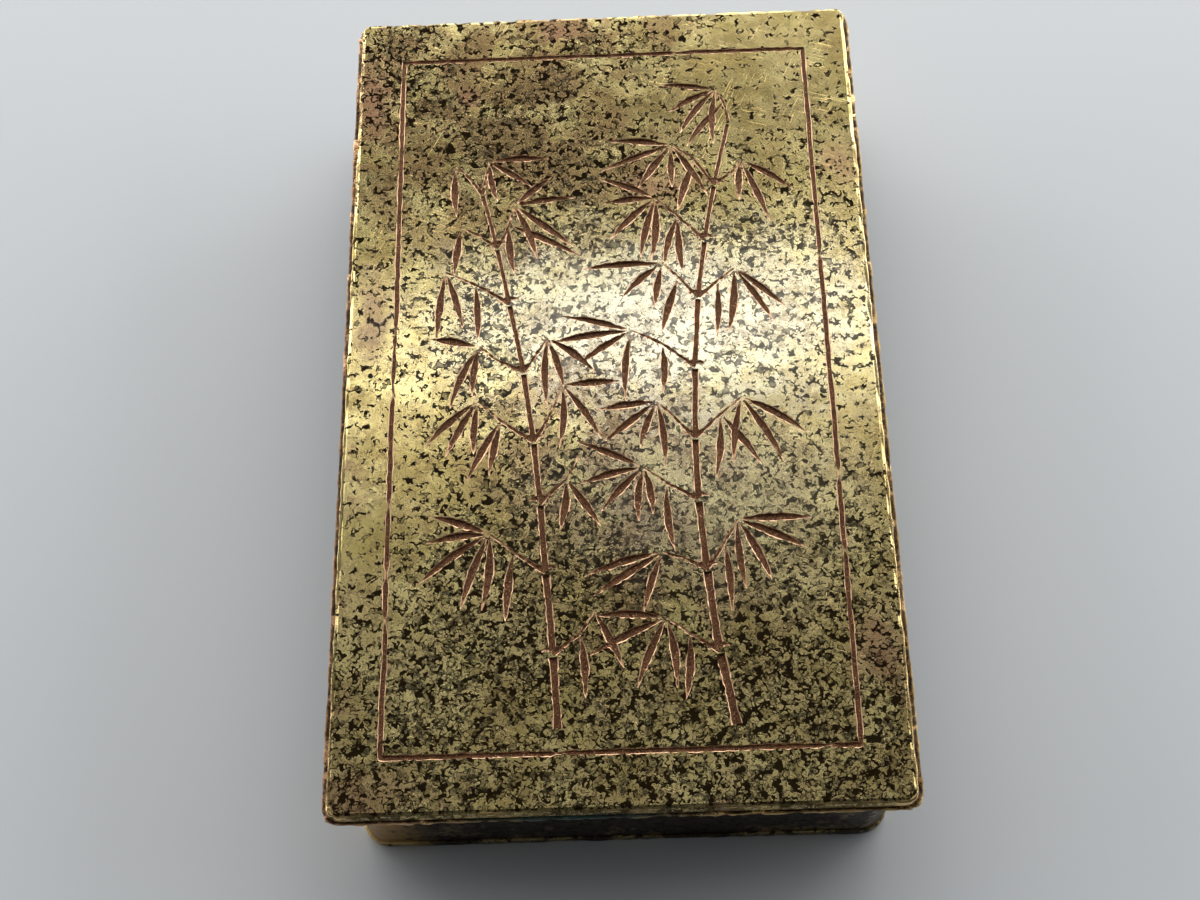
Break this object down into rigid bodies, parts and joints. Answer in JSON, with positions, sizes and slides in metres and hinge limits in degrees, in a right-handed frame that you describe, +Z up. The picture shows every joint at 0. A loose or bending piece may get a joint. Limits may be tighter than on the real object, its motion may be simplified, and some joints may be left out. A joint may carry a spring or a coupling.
{
  "type": "suzuri ink box",
  "caption": "Flat brass ink box with an overhanging engraved lid that lifts off, and a lift-out copper liner that holds a slate inkstone.",
  "frame": {"origin": "middle of the underside of the bottom plate, on the surface that the box stands on", "axes": "+Z up, +Y along the long side of the lid towards the inkstone's pool, +X along the short side"},
  "size_m": [0.06, 0.1, 0.017],
  "materials": {
    "engraved_brass": "aged, flecked with dark patina, engraved",
    "lid_brass": "worn, warm, nibbled along the edge",
    "case_brass": "dark aged",
    "liner_copper": "dull copper, ink stained",
    "slate": "honed slate with dried ink"
  },
  "bodies": {
    "case": {"bottom_plate": "case_brass", "side_wall": "case_brass"},
    "lid": {"lid_plate": "engraved_brass", "lid_frame": "lid_brass", "lid_skirt": "lid_brass"},
    "liner": {"liner_floor": "liner_copper", "liner_wall": "liner_copper"},
    "stone": {"inkstone": "slate"}
  },
  "joints": [
    {"name": "lid_lift", "type": "slide", "parent": "case", "child": "lid", "axis": [0, 0, 1], "range_m": [0, 0.08]},
    {"name": "liner_lift", "type": "slide", "parent": "case", "child": "liner", "axis": [0, 0, 1], "range_m": [0, 0.024]},
    {"name": "inkstone_lift", "type": "slide", "parent": "liner", "child": "stone", "axis": [0, 0, 1], "range_m": [0, 0.024]}
  ],
  "couplings": [
    {"joint": "liner_lift", "follows": "lid_lift", "ratio": 0.3},
    {"joint": "inkstone_lift", "follows": "lid_lift", "ratio": 0.3}
  ]
}
